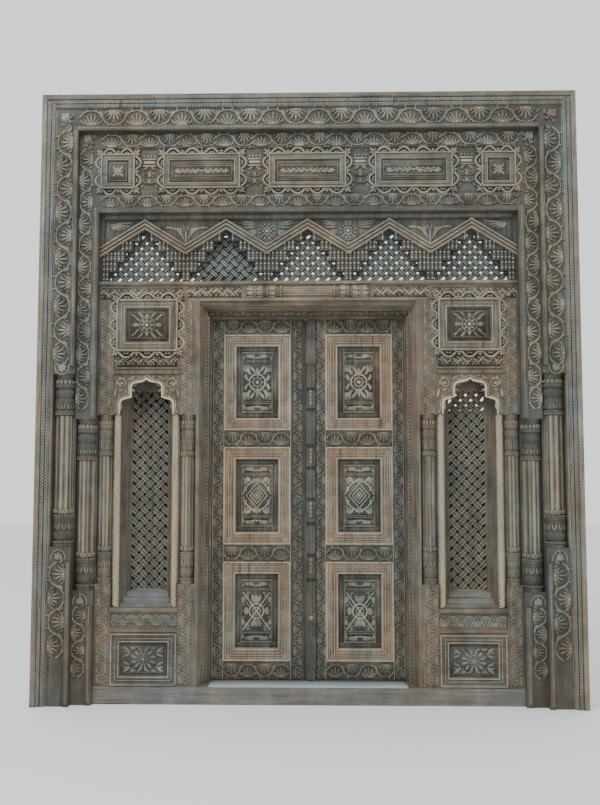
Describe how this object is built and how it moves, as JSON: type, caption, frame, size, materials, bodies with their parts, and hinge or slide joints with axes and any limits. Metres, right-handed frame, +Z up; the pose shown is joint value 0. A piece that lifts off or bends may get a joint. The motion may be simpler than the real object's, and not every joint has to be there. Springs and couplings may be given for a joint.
{
  "type": "carved wooden door portal",
  "caption": "Carved wooden portal with hinged panelled leaves, lattice side windows, turned half columns and a zigzag lattice row over the lintel.",
  "frame": {"origin": "middle of the footprint on the floor: centre of the bounding box in X and Y, at the lowest point in Z", "axes": "+X to the right seen from the front, +Y from the carved front to the back, +Z up; the leaves open towards +Y"},
  "size_m": [3.05, 0.3, 3.45],
  "materials": {
    "frame_wood": "weathered, oiled carved timber",
    "vine_wood": "weathered carved timber, worn pale on the relief",
    "frieze_wood": "weathered moulded timber",
    "row_wood": "weathered grey-brown timber",
    "lattice_wood": "weathered grey lattice strips",
    "leaf_wood": "weathered brown carved timber",
    "sill_wood": "bleached, trodden timber",
    "bay_wood": "weathered carved timber",
    "iron": "worn forged iron"
  },
  "bodies": {
    "portal": {"outer_stile_left": "frame_wood", "outer_stile_right": "frame_wood", "outer_head": "frame_wood", "outer_post_left": "vine_wood", "outer_post_right": "vine_wood", "outer_band_head": "vine_wood", "inner_post_left": "vine_wood", "inner_post_right": "vine_wood", "inner_band_head": "vine_wood", "frieze_board": "frieze_wood", "frieze_panel_1": "frieze_wood", "frieze_panel_2": "frieze_wood", "frieze_panel_3": "frieze_wood", "frieze_panel_4": "frieze_wood", "frieze_panel_5": "frieze_wood", "vine_rail": "vine_wood", "spandrel_board": "row_wood", "zigzag_moulding": "row_wood", "corbel_board": "row_wood", "upper_lattice": "lattice_wood", "lintel": "bay_wood", "lintel_column": "bay_wood", "column_outer_left": "bay_wood", "column_outer_right": "bay_wood", "column_inner_left": "bay_wood", "column_inner_right": "bay_wood", "upper_panel_left": "bay_wood", "upper_panel_right": "bay_wood", "arch_board_left": "bay_wood", "arch_board_right": "bay_wood", "window_frame_left": "bay_wood", "window_frame_right": "bay_wood", "window_lattice_left": "lattice_wood", "window_lattice_right": "lattice_wood", "window_back_board_left": "bay_wood", "window_back_board_right": "bay_wood", "window_sill_left": "bay_wood", "window_sill_right": "bay_wood", "apron_rail_left": "bay_wood", "apron_rail_right": "bay_wood", "lower_panel_left": "bay_wood", "lower_panel_right": "bay_wood", "jamb_left": "bay_wood", "jamb_right": "bay_wood", "door_head": "bay_wood", "threshold": "sill_wood"},
    "leaf_left": {"hanging_stile_left": "leaf_wood", "meeting_stile_left": "leaf_wood", "leaf_rails_left": "leaf_wood", "leaf_panel_top_left": "leaf_wood", "leaf_panel_middle_left": "leaf_wood", "leaf_panel_bottom_left": "leaf_wood"},
    "leaf_right": {"hanging_stile_right": "leaf_wood", "meeting_stile_right": "leaf_wood", "leaf_rails_right": "leaf_wood", "leaf_panel_top_right": "leaf_wood", "leaf_panel_middle_right": "leaf_wood", "leaf_panel_bottom_right": "leaf_wood", "astragal": "leaf_wood", "door_stud": "iron"}
  },
  "joints": [
    {"name": "left_leaf_swing", "type": "hinge", "parent": "portal", "child": "leaf_left", "pos_m": [-0.57, 0.1075, 0.1], "axis": [0, 0, 1], "range_deg": [0, 100]},
    {"name": "right_leaf_swing", "type": "hinge", "parent": "portal", "child": "leaf_right", "pos_m": [0.57, 0.1075, 0.1], "axis": [0, 0, -1], "range_deg": [0, 100]}
  ]
}
